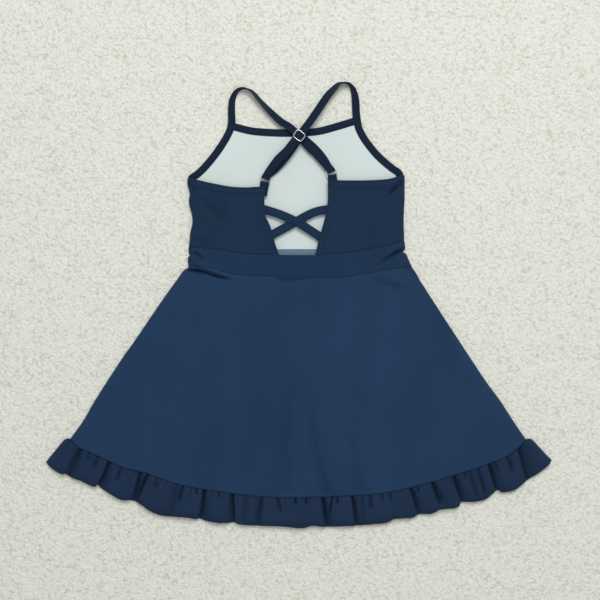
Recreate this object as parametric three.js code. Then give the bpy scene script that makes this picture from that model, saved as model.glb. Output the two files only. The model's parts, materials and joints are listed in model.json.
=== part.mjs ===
import * as THREE from "three";

// A sleeveless cheer dress lying on its front, sizes in millimetres.
// +X is to the right, +Y towards the shoulders, +Z up through the back.

// skirt and ruffle
const hemWidth = 570;
const skirtLength = 276.6;
const hemRise = 73;
const ruffleDepth = 37;
const ruffleWidth = 631.2;
const ruffleRise = 82;
const pleats = 22;
const pleatHeight = 1.3;
const skirtSeamWidth = 284;
const skirtSeamY = 36.6;
const skirtSeamRise = 21;
const hemMiddle = -0.5;

// waistband and bodice
const waistbandHeight = 27.4;
const waistWidth = 264;
const waistRise = 10;
const chestWidth = 272;
const underarmY = 163;
const cornerWidth = 169;
const armholeHeight = 65;
const armholeBend = 1.6;
const neckDip = 8;
const bodiceMiddle = -4;
const edgeBand = 9.5;

// back panels: the right one lies a little higher than the left
const backPanels = {
  left: { side: -1, cornerY: 148, underarmRise: 13 },
  right: { side: 1, cornerY: 156.5, underarmRise: 9 },
};
const keyholeWidth = 79;
const keyholeFoot = 41;
const keyholeMiddle = -3;
const keyholeBand = 8;

// cross straps in the keyhole
const crossWidth = 11;
const crossThickness = 0.9;
const crossHighY = 119;
const crossLowY = 87;

// shoulder straps and their metal parts
const strapWidth = 9.4;
const strapThickness = 0.8;
const wire = 1.1;
const slip = 0.25;
const sliderLength = 12;
const ringLength = 6.6;
const tabLength = 17;
const tabWidth = 9.6;
const tabThickness = 0.8;
const tabTurn = 10;
const tabShift = 2.5;
const crossing = new THREE.Vector2(0.3, 213.5);
const straightRun = 34;
const loops = {
  left: [[0, 18], [6, 36], [17, 41], [29, 33], [45, 15]],
  right: [[-3, 20], [-9, 41], [-21, 47], [-34, 40], [-54, 11]],
};

// heights of the layers
const gap = 0.2;
const bindingCloth = 0.5;
const outerCloth = 0.8;
const liningCloth = 0.6;
const skirtCloth = 1;
const backHeight = 8.4;
const skirtHeight = 9;
const sideRise = 38;
const edgeHeight = 5.4;
const runGap = 0.7;

// layers from the outside of the cloth inwards
const outerStart = bindingCloth + gap;
const liningStart = outerStart + outerCloth + gap;
const stack = liningStart + liningCloth + gap + bindingCloth;
const waistY = skirtSeamY + waistbandHeight;

// the metal bars with the cloth wrapped round them, and the heights this gives
const wrap = wire / 2 + slip + strapThickness / 2;
const barDrop = strapThickness / 2 + slip + strapThickness + slip + wire / 2;
const barRise = strapThickness / 2 + slip + wire / 2;
const runDepth = barDrop + wrap + strapThickness / 2;
const runHeight = { left: stack + gap + runDepth };
runHeight.right = runHeight.left + barRise + wire / 2 + runGap + runDepth;
const tabInner = wire / 2 + slip + 0.05;
const tabHeight = backHeight - 0.25 - tabInner - tabThickness;

const lerp = THREE.MathUtils.lerp;
const smooth = (t) => THREE.MathUtils.smoothstep(t, 0, 1);

function mesh(name, geometry, color, roughness, metalness = 0) {
  const material = new THREE.MeshStandardMaterial({ color, roughness, metalness });
  const result = new THREE.Mesh(geometry, material);
  result.name = name;
  return result;
}

// A closed sheet: place(u, v, w) puts each point, u along, v across and w through.
function sheet(along, across, place) {
  const geometry = new THREE.BoxGeometry(1, 1, 1, along, across, 1);
  const points = geometry.attributes.position;
  const p = new THREE.Vector3();
  for (let i = 0; i < points.count; i++) {
    p.fromBufferAttribute(points, i).addScalar(0.5);
    points.setXYZ(i, ...place(p.x, p.y, p.z));
  }
  return facingOut(geometry);
}

function facingOut(geometry) {
  const index = geometry.index.array;
  const points = geometry.attributes.position;
  const [a, b, c] = [new THREE.Vector3(), new THREE.Vector3(), new THREE.Vector3()];
  let volume = 0;
  for (let i = 0; i < index.length; i += 3) {
    a.fromBufferAttribute(points, index[i]);
    b.fromBufferAttribute(points, index[i + 1]);
    c.fromBufferAttribute(points, index[i + 2]);
    volume += a.dot(b.cross(c));
  }
  if (volume < 0) {
    for (let i = 0; i < index.length; i += 3) {
      [index[i], index[i + 1]] = [index[i + 1], index[i]];
    }
  }
  return geometry;
}

// How far the back sinks towards a side seam, given the distance from that seam.
function sink(distance, drop) {
  return -drop * (1 - smooth(distance / sideRise));
}

const bodiceSink = (distance) => sink(distance, backHeight - stack - gap);

// The front bodice from waist to neck, side -1 to 1 and up 0 to 1.
const armholeStart = 0.4;

function frontPoint(side, up, inset) {
  const waist = waistY + waistRise * side * side + 0.4;
  if (up <= armholeStart) {
    const t = up / armholeStart;
    const half = lerp(waistWidth, chestWidth, t) / 2 - inset * t;
    return [bodiceMiddle + side * half, lerp(waist, underarmY, t)];
  }
  const t = (up - armholeStart) / (1 - armholeStart);
  const neck = underarmY + armholeHeight - neckDip * (1 - side * side) - inset;
  return [bodiceMiddle + side * (armholeHalf(t) - inset), lerp(underarmY, neck, t)];
}

function armholeHalf(t) {
  return lerp(cornerWidth, chestWidth, Math.pow(1 - t, armholeBend)) / 2;
}

function frontBodice(low, thick) {
  return sheet(8, 7, (u, v, w) => {
    const rows = v < 2 / 7 ? (v * 7 / 2) * armholeStart : lerp(armholeStart, 1, (v * 7 - 2) / 5);
    const [x, y] = frontPoint(2 * u - 1, rows, 1.6);
    return [x, y, low + w * thick];
  });
}

// A band folded over an edge; edge(u) and inward(u) are plan points, height(u) lifts it.
function foldedBand(steps, edge, inward, low, height) {
  const out = [[1, 0], [0.07, 0], [0, 0.5], [0, stack - 0.5], [0.07, stack], [1, stack]];
  const skin = bindingCloth;
  const inside = [
    [1, skin], [0.11, skin], [0.07, skin + 0.2],
    [0.07, stack - skin - 0.2], [0.11, stack - skin], [1, stack - skin],
  ];
  return sheet(steps, 5, (u, v, w) => {
    const [reach, rise] = (w > 0.5 ? inside : out)[Math.round(v * 5)];
    const [x, y] = edge(u);
    const [dx, dy] = inward(u);
    return [x + dx * reach, y + dy * reach, low + rise + height(u)];
  });
}

const flat = () => 0;

function armholeBinding(side) {
  const edge = (t) => [bodiceMiddle + side * armholeHalf(t), underarmY + armholeHeight * t];
  const inward = (t) => {
    const [x0, y0] = edge(Math.max(t - 0.02, 0));
    const [x1, y1] = edge(Math.min(t + 0.02, 1));
    const length = Math.hypot(x1 - x0, y1 - y0) / edgeBand;
    return [-side * (y1 - y0) / length, side * (x1 - x0) / length];
  };
  return foldedBand(8, edge, inward, 0, flat);
}

function neckBinding() {
  const half = cornerWidth / 2 - edgeBand - 0.5;
  const edge = (u) => {
    const side = (2 * u - 1) * half / (cornerWidth / 2);
    return [bodiceMiddle + (2 * u - 1) * half,
      underarmY + armholeHeight - neckDip * (1 - side * side)];
  };
  return foldedBand(10, edge, (u) => [2 * u - 1, -edgeBand], 0, flat);
}

// A back panel, u from the side seam to the keyhole and v from waist to top.
function keyholeX(panel, y) {
  const t = THREE.MathUtils.clamp((y - waistY) / 60, 0, 1);
  const opening = Math.pow(Math.sin(t * Math.PI / 2), 1.2);
  return keyholeMiddle + panel.side * lerp(keyholeFoot, keyholeWidth, opening) / 2;
}

function backPoint(panel, u, v, inset) {
  const sideX = bodiceMiddle + panel.side * lerp(waistWidth, chestWidth, v) / 2;
  const edgeY = lerp(waistY, panel.cornerY, v);
  const x = lerp(sideX, keyholeX(panel, edgeY) + panel.side * inset, u);
  const waistSide = (x - bodiceMiddle) / (waistWidth / 2);
  const waist = waistY + waistRise * waistSide * waistSide + 0.4;
  const top = panel.cornerY + panel.underarmRise * Math.pow(1 - u, 2.2) - inset;
  return [x, lerp(waist, top, v)];
}

const panelWidth = (panel) =>
  (chestWidth - keyholeWidth) / 2 - panel.side * (keyholeMiddle - bodiceMiddle);
const panelSink = (panel) => (u) => bodiceSink(u * panelWidth(panel));

function backBodice(panel, low, thick) {
  const lift = panelSink(panel);
  return sheet(7, 7, (u, v, w) => {
    const [x, y] = backPoint(panel, u, v, 1.5);
    return [x, y, backHeight + low + w * thick + lift(u)];
  });
}

function topBinding(panel) {
  const edge = (u) => backPoint(panel, u, 1, 0);
  const inward = (u) => {
    const [x0, y0] = edge(u);
    const [x1, y1] = backPoint(panel, u, 1 - edgeBand / (panel.cornerY - waistY), 0);
    return [x1 - x0, y1 - y0];
  };
  return foldedBand(7, edge, inward, backHeight, panelSink(panel));
}

function keyholeBinding(panel) {
  const top = panel.cornerY - edgeBand - 0.4;
  const edge = (u) => {
    const y = lerp(waistY + 1.5, top, u);
    return [keyholeX(panel, y), y];
  };
  return foldedBand(7, edge, () => [panel.side * keyholeBand, 0], backHeight, flat);
}

// Waistband, skirt and ruffle panels between two bowed edges.
function bowed(middle, width, y, rise) {
  return (u) => [middle + (2 * u - 1) * width / 2, y + rise * Math.pow(2 * u - 1, 2)];
}

function panelBetween(steps, rows, lower, upper, height) {
  return sheet(steps, rows, (u, v, w) => {
    const [x0, y0] = lower(u);
    const [x1, y1] = upper(u);
    return [lerp(x0, x1, v), lerp(y0, y1, v), height(u, v, w)];
  });
}

const skirtSeam = (shift) => bowed(bodiceMiddle + 1, skirtSeamWidth, skirtSeamY + shift, skirtSeamRise);
const waistSeam = (shift) => bowed(bodiceMiddle, waistWidth, waistY + shift, waistRise);
const hem = (shift) => bowed(hemMiddle, hemWidth, skirtSeamY - skirtLength + shift, hemRise);

function waistband(low, thick, back) {
  const lift = (u) => (back ? backHeight + bodiceSink((0.5 - Math.abs(u - 0.5)) * chestWidth) : 0);
  return panelBetween(12, 1, skirtSeam(0.3), waistSeam(-0.1),
    (u, v, w) => low + w * thick + lift(u));
}

function skirtBack() {
  return panelBetween(14, 5, hem(0.3), skirtSeam(-0.3), (u, v, w) => {
    const distance = (0.5 - Math.abs(u - 0.5)) * lerp(hemWidth, skirtSeamWidth, v);
    return skirtHeight + w * skirtCloth + sink(distance, skirtHeight - skirtCloth - 0.6);
  });
}

function skirtFront() {
  return panelBetween(10, 2, hem(0.3), skirtSeam(-0.3), (u, v, w) => w * skirtCloth);
}

function ruffle(back) {
  const lower = bowed(0, ruffleWidth, skirtSeamY - skirtLength - ruffleDepth, ruffleRise);
  const upper = bowed(hemMiddle, hemWidth + 10, skirtSeamY - skirtLength - 0.4, hemRise + 1);
  return panelBetween(pleats * 4, 1, lower, upper, (u, v, w) => {
    const wave = (1 - Math.cos(u * pleats * 2 * Math.PI)) / 2;
    const distance = (0.5 - Math.abs(u - 0.5)) * lerp(ruffleWidth, hemWidth, v);
    const lift = back ? skirtHeight - 0.4 + sink(distance, skirtHeight - 3.2) : 0;
    return lift + wave * pleatHeight * lerp(1, 0.4, v) + w * skirtCloth;
  });
}

// A flat strip along centre points, with a sideways direction at each.
function ribbon(centres, sideways, width, thickness) {
  const last = centres.length - 1;
  const through = centres.map((p, i) => {
    const ahead = centres[Math.min(i + 1, last)].clone().sub(centres[Math.max(i - 1, 0)]);
    return ahead.cross(sideways[i]).normalize();
  });
  return sheet(last, 1, (u, v, w) => {
    const i = Math.round(u * last);
    return centres[i].clone()
      .addScaledVector(sideways[i], (v - 0.5) * width)
      .addScaledVector(through[i], (w - 0.5) * thickness)
      .toArray();
  });
}

const up = new THREE.Vector3(0, 0, 1);
const point = (plan, z) => new THREE.Vector3(plan.x, plan.y, z);

// The tab's bar, the ring's free bar and the strap's way between crossing and ring.
function strapLayout(name) {
  const strapSide = name === "left" ? -1 : 1;
  const panel = name === "left" ? backPanels.right : backPanels.left;
  const turn = THREE.MathUtils.degToRad(90 + panel.side * tabTurn);
  const ringWay = new THREE.Vector2(Math.cos(turn), Math.sin(turn));
  const tabBar = new THREE.Vector2(
    keyholeMiddle + tabShift + panel.side * (keyholeWidth / 2 + 2.5), panel.cornerY + 5);
  const freeBar = tabBar.clone().addScaledVector(ringWay, ringLength);
  const way = freeBar.clone().sub(crossing).normalize();
  return { strapSide, turn, ringWay, tabBar, freeBar, way, height: runHeight[name] };
}

function loopCurve(name, layout) {
  const start = new THREE.Vector3(
    bodiceMiddle + layout.strapSide * (cornerWidth - edgeBand) / 2,
    underarmY + armholeHeight + 0.8, stack / 2);
  const middle = loops[name].map(([dx, dy], i) =>
    new THREE.Vector3(start.x + dx, start.y + dy, i === 4 ? lerp(edgeHeight, layout.height, 0.6)
      : lerp(start.z, edgeHeight, Math.min(1, (i + 1) / 3))));
  const ahead = name === "left" ? 10 : 27;
  const end = point(crossing.clone().addScaledVector(layout.way, -ahead), layout.height);
  return new THREE.CatmullRomCurve3([start, ...middle, end]);
}

function strap(name) {
  const layout = strapLayout(name);
  const curve = loopCurve(name, layout);
  const steps = 26;
  const centres = [];
  const sideways = [];
  for (let i = 0; i <= steps; i++) {
    const t = i / steps;
    const ahead = curve.getTangentAt(t);
    const outward = up.clone().cross(ahead).multiplyScalar(-layout.strapSide).normalize();
    const roll = Math.PI * smooth((t - 0.12) / 0.76);
    const face = up.clone().multiplyScalar(-Math.cos(roll)).addScaledVector(outward, Math.sin(roll));
    centres.push(curve.getPointAt(t));
    sideways.push(face.cross(ahead).normalize());
  }
  const across = up.clone().cross(point(layout.way, 0)).normalize();
  const bar = up.clone().cross(point(layout.ringWay, 0)).multiplyScalar(-1).normalize();
  centres[steps].setZ(layout.height);
  sideways[steps].copy(across);
  centres.push(point(crossing.clone().addScaledVector(layout.way, straightRun), layout.height));
  sideways.push(across);
  const landing = layout.freeBar.clone().addScaledVector(layout.ringWay, 2.6);
  centres.push(point(landing, tabHeight + wrap));
  sideways.push(bar.dot(across) < 0 ? bar.clone().negate() : bar);
  return ribbon(centres, sideways, strapWidth, strapThickness);
}

// The end of the strap: round the ring, back under the strap and round the slider's bar.
function strapReturn(name) {
  const layout = strapLayout(name);
  const across = up.clone().cross(point(layout.way, 0)).normalize();
  const bar = up.clone().cross(point(layout.ringWay, 0)).normalize();
  if (bar.dot(across) < 0) bar.negate();
  const ring = point(layout.freeBar, tabHeight);
  const out = point(layout.ringWay, 0);
  const centres = [ring.clone().addScaledVector(out, 2.1).addScaledVector(up, wrap)];
  for (let i = 0; i <= 4; i++) {
    const angle = Math.PI * i / 4;
    centres.push(ring.clone().addScaledVector(out, -wrap * Math.sin(angle))
      .addScaledVector(up, wrap * Math.cos(angle)));
  }
  centres.push(ring.clone().addScaledVector(out, 3).addScaledVector(up, -wrap - 0.1));
  const sideways = centres.map(() => bar);
  const way = point(layout.way, 0);
  const slider = point(crossing, layout.height - barDrop);
  centres.push(slider.clone().addScaledVector(way, straightRun).addScaledVector(up, -wrap));
  for (let i = 0; i <= 4; i++) {
    const angle = Math.PI * i / 4;
    centres.push(slider.clone().addScaledVector(way, -wrap * Math.sin(angle))
      .addScaledVector(up, -wrap * Math.cos(angle)));
  }
  centres.push(slider.clone().addScaledVector(way, 3).addScaledVector(up, wrap));
  while (sideways.length < centres.length) sideways.push(across);
  return ribbon(centres, sideways, strapWidth - 0.4, strapThickness);
}

// A rectangle outline with cut corners and steps up its long sides.
function frameOutline(halfWidth, bottom, top, cut, steps) {
  const outline = [];
  for (const side of [1, -1]) {
    for (let i = 0; i <= steps; i++) {
      const t = side > 0 ? i / steps : 1 - i / steps;
      outline.push(new THREE.Vector2(side * halfWidth, lerp(bottom + cut, top - cut, t)));
    }
    const end = side > 0 ? top : bottom;
    outline.push(new THREE.Vector2(side * (halfWidth - cut), end));
    outline.push(new THREE.Vector2(-side * (halfWidth - cut), end));
  }
  return outline;
}

function wireFrame(outline, holes) {
  const shape = new THREE.Shape(outline);
  shape.holes = holes.map((hole) => new THREE.Path(hole));
  const bevel = wire / 4;
  const geometry = new THREE.ExtrudeGeometry(shape, {
    depth: wire - 2 * bevel, bevelEnabled: true, bevelSize: bevel, bevelOffset: -bevel,
    bevelThickness: bevel, bevelSegments: 1, curveSegments: 1,
  });
  return geometry.translate(0, 0, bevel - wire / 2);
}

function ring(name) {
  const layout = strapLayout(name);
  const inner = strapWidth / 2 + slip + 0.1;
  const far = ringLength + wire / 2;
  const geometry = wireFrame(frameOutline(inner + wire, -wire / 2, far, 1, 1),
    [frameOutline(inner, wire / 2, far - wire, 0.5, 1)]);
  geometry.rotateZ(layout.turn - Math.PI / 2);
  return geometry.translate(layout.tabBar.x, layout.tabBar.y, tabHeight);
}

// Outer bars above the strap and a centre bar below it.
function slider(name) {
  const layout = strapLayout(name);
  const inner = strapWidth / 2 + slip;
  const half = sliderLength / 2;
  const geometry = wireFrame(frameOutline(inner + wire, -half, half, 1.2, 8), [
    frameOutline(inner, wire / 2, half - wire, 0.4, 3),
    frameOutline(inner, wire - half, -wire / 2, 0.4, 3),
  ]);
  const points = geometry.attributes.position;
  for (let i = 0; i < points.count; i++) {
    const t = 1 - (Math.abs(points.getY(i)) - wire / 2) / (half - 1.6 * wire);
    points.setZ(i, points.getZ(i) + barRise - (barRise + barDrop) * smooth(t));
  }
  geometry.rotateZ(Math.atan2(layout.way.y, layout.way.x) - Math.PI / 2);
  return geometry.translate(crossing.x, crossing.y, layout.height);
}

// A strip folded round the ring's bar, both ends sewn under the panel.
function tab(name) {
  const layout = strapLayout(name);
  const inner = tabInner;
  const outer = inner + tabThickness;
  const shape = new THREE.Shape();
  shape.moveTo(-tabLength, -outer).lineTo(0, -outer);
  shape.absarc(0, 0, outer, -Math.PI / 2, Math.PI / 2, false);
  shape.lineTo(-tabLength, outer).lineTo(-tabLength, inner).lineTo(0, inner);
  shape.absarc(0, 0, inner, Math.PI / 2, -Math.PI / 2, true);
  shape.lineTo(-tabLength, -inner);
  const geometry = new THREE.ExtrudeGeometry(shape,
    { depth: tabWidth, bevelEnabled: false, curveSegments: 8 });
  geometry.translate(0, 0, -tabWidth / 2);
  geometry.applyMatrix4(new THREE.Matrix4().makeBasis(
    new THREE.Vector3(0, 1, 0), new THREE.Vector3(0, 0, 1), new THREE.Vector3(1, 0, 0)));
  geometry.rotateZ(layout.turn - Math.PI / 2);
  return geometry.translate(layout.tabBar.x, layout.tabBar.y, tabHeight);
}

// One cross strap, sewn under the keyhole's edges.
function crossStrap(side, bump) {
  const hidden = 5;
  const [high, low] = side < 0 ? [backPanels.left, backPanels.right] : [backPanels.right, backPanels.left];
  const start = new THREE.Vector2(keyholeX(high, crossHighY) + side * hidden, crossHighY + 2);
  const end = new THREE.Vector2(keyholeX(low, crossLowY) - side * hidden, crossLowY - 2);
  const sideways = point(end.clone().sub(start), 0).cross(up).normalize();
  const centres = [];
  for (let i = 0; i <= 8; i++) {
    const t = i / 8;
    const rise = bump * Math.pow(Math.sin(Math.PI * t), 2);
    centres.push(point(start.clone().lerp(end, t), backHeight - gap - crossThickness / 2 + rise));
  }
  return ribbon(centres, centres.map(() => sideways), crossWidth, crossThickness);
}

const navy = 0x22354f;
const skirtBlue = 0x263d59;
const trim = 0x19263e;
const white = 0xd2dcda;
const greyBlue = 0x61788c;
const steel = 0xb9bcc0;

function bodiceParts() {
  const back = backPanels;
  const outerLow = stack - outerStart - outerCloth;
  const liningLow = bindingCloth + gap;
  return [
    mesh("front_bodice_outer", frontBodice(outerStart, outerCloth), navy, 0.8),
    mesh("front_bodice_lining", frontBodice(liningStart, liningCloth), white, 0.85),
    mesh("front_neck_binding", neckBinding(), trim, 0.7),
    mesh("front_armhole_binding_left", armholeBinding(-1), trim, 0.7),
    mesh("front_armhole_binding_right", armholeBinding(1), trim, 0.7),
    mesh("back_bodice_left", backBodice(back.left, outerLow, outerCloth), navy, 0.8),
    mesh("back_bodice_right", backBodice(back.right, outerLow, outerCloth), navy, 0.8),
    mesh("back_lining_left", backBodice(back.left, liningLow, liningCloth), white, 0.85),
    mesh("back_lining_right", backBodice(back.right, liningLow, liningCloth), white, 0.85),
    mesh("back_top_binding_left", topBinding(back.left), trim, 0.7),
    mesh("back_top_binding_right", topBinding(back.right), trim, 0.7),
    mesh("keyhole_binding_left", keyholeBinding(back.left), trim, 0.7),
    mesh("keyhole_binding_right", keyholeBinding(back.right), trim, 0.7),
    mesh("cross_strap_over", crossStrap(-1, 1.4), trim, 0.7),
    mesh("cross_strap_under", crossStrap(1, -0.2), trim, 0.7),
  ];
}

function strapParts() {
  const parts = [];
  for (const name of ["left", "right"]) {
    const tabSide = name === "left" ? "right" : "left";
    parts.push(
      mesh(`shoulder_strap_${name}`, strap(name), trim, 0.75),
      mesh(`strap_return_${name}`, strapReturn(name), trim, 0.75),
      mesh(`slider_${name}`, slider(name), steel, 0.25, 1),
      mesh(`ring_${tabSide}`, ring(name), steel, 0.25, 1),
      mesh(`tab_${tabSide}`, tab(name), trim, 0.75),
    );
  }
  return parts;
}

function skirtParts() {
  const facing = bindingCloth + gap;
  return [
    mesh("waistband_front", waistband(0, outerCloth + 0.2, false), navy, 0.8),
    mesh("waistband_facing_front", waistband(liningStart, liningCloth, false), greyBlue, 0.85),
    mesh("waistband_back", waistband(facing + liningCloth + 0.4, outerCloth + 0.2, true), navy, 0.8),
    mesh("waistband_facing_back", waistband(facing, liningCloth, true), greyBlue, 0.85),
    mesh("skirt_front", skirtFront(), skirtBlue, 0.8),
    mesh("skirt_back", skirtBack(), skirtBlue, 0.8),
    mesh("ruffle_front", ruffle(false), navy, 0.85),
    mesh("ruffle_back", ruffle(true), navy, 0.85),
  ];
}

const dress = new THREE.Group();
dress.name = "cheer_dress";
dress.add(...bodiceParts(), ...strapParts(), ...skirtParts());

// The origin is under the middle of the whole dress.
const bounds = new THREE.Box3().setFromObject(dress);
const centre = bounds.getCenter(new THREE.Vector3());
for (const part of dress.children) part.geometry.translate(-centre.x, -centre.y, -bounds.min.z);

export default dress;
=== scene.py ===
import bpy, json, math
import numpy as np
from mathutils import Vector, Matrix


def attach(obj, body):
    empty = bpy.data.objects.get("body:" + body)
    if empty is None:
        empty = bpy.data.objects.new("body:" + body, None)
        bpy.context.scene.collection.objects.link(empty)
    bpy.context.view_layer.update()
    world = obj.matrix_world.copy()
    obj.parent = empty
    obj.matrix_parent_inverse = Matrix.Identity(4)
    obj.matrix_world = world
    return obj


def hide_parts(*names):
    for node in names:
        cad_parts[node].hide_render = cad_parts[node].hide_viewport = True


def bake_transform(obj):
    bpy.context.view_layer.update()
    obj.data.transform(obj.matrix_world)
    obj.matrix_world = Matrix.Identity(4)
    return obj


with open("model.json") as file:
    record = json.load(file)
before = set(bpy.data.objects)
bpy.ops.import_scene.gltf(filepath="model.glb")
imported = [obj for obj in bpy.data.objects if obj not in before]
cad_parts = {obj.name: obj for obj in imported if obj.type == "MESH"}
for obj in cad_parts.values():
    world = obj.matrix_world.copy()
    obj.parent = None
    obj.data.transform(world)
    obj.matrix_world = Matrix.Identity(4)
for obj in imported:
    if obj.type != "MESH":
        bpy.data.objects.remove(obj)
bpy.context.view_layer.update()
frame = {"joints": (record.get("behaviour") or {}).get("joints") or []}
print("frame loaded")

mm = 0.001


# camera, light and floor

room = {"eye": 1.5, "lookAt": (0.0014, 0.0066), "across": 0.750, "sensor": 36, "clothLevel": 0.005,
        "sky": (0.93, 0.97, 1.0, 1), "skyStrength": 0.44, "floorSize": 4, "floorLevel": -0.0003}

bpy.ops.object.camera_add(location=(*room["lookAt"], room["eye"]), rotation=(0, 0, 0))
camera = bpy.context.object
camera.data.sensor_width = room["sensor"]
camera.data.lens = room["sensor"] * (room["eye"] - room["clothLevel"]) / room["across"]
camera.data.clip_end = 20
bpy.context.scene.camera = camera

lights = {
    "window": {"at": (0.3, 1.75, 2.5), "size": 1.35, "power": 58},
    "fill": {"at": (0.3, -0.6, 2.4), "size": 2.0, "power": 9},
}
for name, light in lights.items():
    bpy.ops.object.light_add(type="AREA", location=light["at"])
    lamp = bpy.context.object
    lamp.name = name
    lamp.data.size = light["size"]
    lamp.data.energy = light["power"]
    aim = Vector((0, 0, 0)) - Vector(light["at"])
    lamp.rotation_euler = aim.to_track_quat("-Z", "Y").to_euler()

world = bpy.data.worlds.new("room")
bpy.context.scene.world = world
world.use_nodes = True
background = world.node_tree.nodes["Background"].inputs
background["Color"].default_value = room["sky"]
background["Strength"].default_value = room["skyStrength"]
bpy.context.scene.view_settings.view_transform = "Standard"


# shader helpers

class Field:
    # a material socket that can be added, multiplied and so on
    def __init__(self, finish, socket):
        self.finish, self.socket = finish, socket

    def maths(self, operation, other=None, swap=False):
        values = [self, other] if other is not None else [self]
        if swap:
            values.reverse()
        inputs = dict(enumerate(values))
        return self.finish.node("ShaderNodeMath", {"operation": operation}, inputs)[0]

    def __add__(self, other): return self.maths("ADD", other)
    def __radd__(self, other): return self.maths("ADD", other)
    def __sub__(self, other): return self.maths("SUBTRACT", other)
    def __rsub__(self, other): return self.maths("SUBTRACT", other, True)
    def __mul__(self, other): return self.maths("MULTIPLY", other)
    def __rmul__(self, other): return self.maths("MULTIPLY", other)
    def __truediv__(self, other): return self.maths("DIVIDE", other)
    def below(self, other): return self.maths("LESS_THAN", other)
    def sine(self): return self.maths("SINE")
    def size(self): return self.maths("ABSOLUTE")
    def share(self): return self.maths("FRACT")


class Finish:
    # one material and its shader
    def __init__(self, name, **fixed):
        self.material = bpy.data.materials.new(name)
        self.material.use_nodes = True
        self.tree = self.material.node_tree
        self.shader = self.tree.nodes["Principled BSDF"]
        for socket, value in fixed.items():
            self.shader.inputs[socket.replace("_", " ")].default_value = value

    def node(self, kind, settings, inputs):
        made = self.tree.nodes.new(kind)
        for key, value in settings.items():
            if key == "stops":
                while len(made.color_ramp.elements) < len(value):
                    made.color_ramp.elements.new(0.5)
                for stop, (place, colour) in zip(made.color_ramp.elements, value):
                    stop.position, stop.color = place, (*colour, 1)
            else:
                setattr(made, key, value)
        for key, value in inputs.items():
            if isinstance(value, Field):
                self.tree.links.new(value.socket, made.inputs[key])
            else:
                made.inputs[key].default_value = value
        return [Field(self, socket) for socket in made.outputs]

    def place(self, scale=(1, 1, 1), turn=0.0, uv=False):
        source = self.node("ShaderNodeTexCoord", {}, {})[2 if uv else 3]
        return self.node("ShaderNodeMapping", {}, {
            "Vector": source, "Scale": scale, "Rotation": (0, 0, turn)})[0]

    def parts(self, vector):
        return self.node("ShaderNodeSeparateXYZ", {}, {0: vector})

    def noise(self, vector, scale, detail=3.0, rough=0.5):
        return self.node("ShaderNodeTexNoise", {}, {
            "Vector": vector, "Scale": scale, "Detail": detail, "Roughness": rough})[0]

    def mix(self, factor, first, second):
        return self.node("ShaderNodeMix", {"data_type": "RGBA"}, {
            0: factor, 6: (*first, 1) if isinstance(first, tuple) else first,
            7: (*second, 1) if isinstance(second, tuple) else second})[2]

    def ramp(self, factor, stops):
        return self.node("ShaderNodeValToRGB", {"stops": stops}, {0: factor})[0]

    def paintFoldShade(self, colour, least=0.4):
        # paints shade into a colour in the depth of the folds and creases, where the light would fall
        # off, from each point's fold attribute
        fold = self.node("ShaderNodeAttribute", {"attribute_name": "fold"}, {})[2]
        return self.node("ShaderNodeMix", {"data_type": "RGBA", "blend_type": "MULTIPLY"}, {
            0: fold, 6: colour, 7: (least, least, least * 1.04, 1)})[2]

    def show(self, colour=None, roughness=None, height=None, distance=0.001, strength=1.0):
        if colour:
            self.tree.links.new(colour.socket, self.shader.inputs["Base Color"])
        if roughness:
            self.tree.links.new(roughness.socket, self.shader.inputs["Roughness"])
        if height:
            bump = self.node("ShaderNodeBump", {}, {
                "Height": height, "Distance": distance, "Strength": strength})[0]
            self.tree.links.new(bump.socket, self.shader.inputs["Normal"])
        return self.material


def linear(red, green, blue):
    # the linear colour of a screen colour from 0 to 255
    return tuple((c / 255 / 12.92) if c < 11 else ((c / 255 + 0.055) / 1.055) ** 2.4
                 for c in (red, green, blue))


def shade(colour, by):
    return tuple(min(1, c * by) for c in colour)


def turns(length):
    # what a measure is multiplied by for one wave in each length
    return 2 * math.pi / length


clothShine = {"Sheen_Weight": 0.06, "Sheen_Roughness": 0.45, "Sheen_Tint": (0.45, 0.6, 0.85, 1),
              "Specular_IOR_Level": 0.14}
thread = {"half": 0.00022, "stitch": 0.0026, "drawn": 0.8}


# knitted navy cloth: fine ribs, loops, a slight mottle, painted light and shade of soft lengthwise
# folds, and painted shade in the folds
def knit(name, colour, rib=0.0009, depth=0.00022, turn=0.0):
    f = Finish(name, **clothShine)
    at = f.place(turn=turn)
    x, y, _ = f.parts(at)
    ribs = (x * turns(rib)).sine()
    loops = (y * (turns(rib) * 0.8) + ribs * 1.2).sine()
    mottle = f.noise(at, 14, 4, 0.6)
    # painted light and shade of soft lengthwise folds, as faint streaks
    foldLightStreaks = f.noise(f.place(scale=(1, 0.3, 1), turn=turn), 26, 2, 0.5)
    fuzz = f.noise(at, 900, 2, 0.6)
    base = f.mix(mottle * 1.6 + foldLightStreaks * 1.4 - 1.0, shade(colour, 0.86), shade(colour, 1.13))
    tone = f.paintFoldShade(f.mix(ribs * 0.08 + loops * 0.06 + fuzz * 0.5, base, shade(colour, 1.16)))
    return f.show(tone, fuzz * 0.12 + 0.66, ribs * 0.5 + loops * 0.35 + fuzz * 0.8, depth, 0.6)


# folded trim: uses its own lengthwise and crosswise measures, in metres
def trimCloth(name, colour, rows):
    f = Finish(name, **clothShine)
    along, across, _ = f.parts(f.place(uv=True))
    fuzz = f.noise(f.place(), 900, 2, 0.6)
    mottle = f.noise(f.place(), 30, 3, 0.6)
    ribs = (along * turns(0.0009)).sine()
    lines = [(across - row).size().below(thread["half"])
             * (along / thread["stitch"]).share().below(thread["drawn"]) for row in rows]
    sewn = sum(lines[1:], lines[0])
    base = f.mix(mottle, shade(colour, 0.88), shade(colour, 1.12))
    # the stitch dashes are darker: the thread itself, with painted shade of the groove it sinks into
    base = f.paintFoldShade(f.mix(sewn, base, shade(colour, 0.55)))
    height = ribs * 0.4 + fuzz * 0.8 + sewn * 1.6
    return f.show(base, fuzz * 0.12 + 0.66, height, 0.00022, 0.6)


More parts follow.
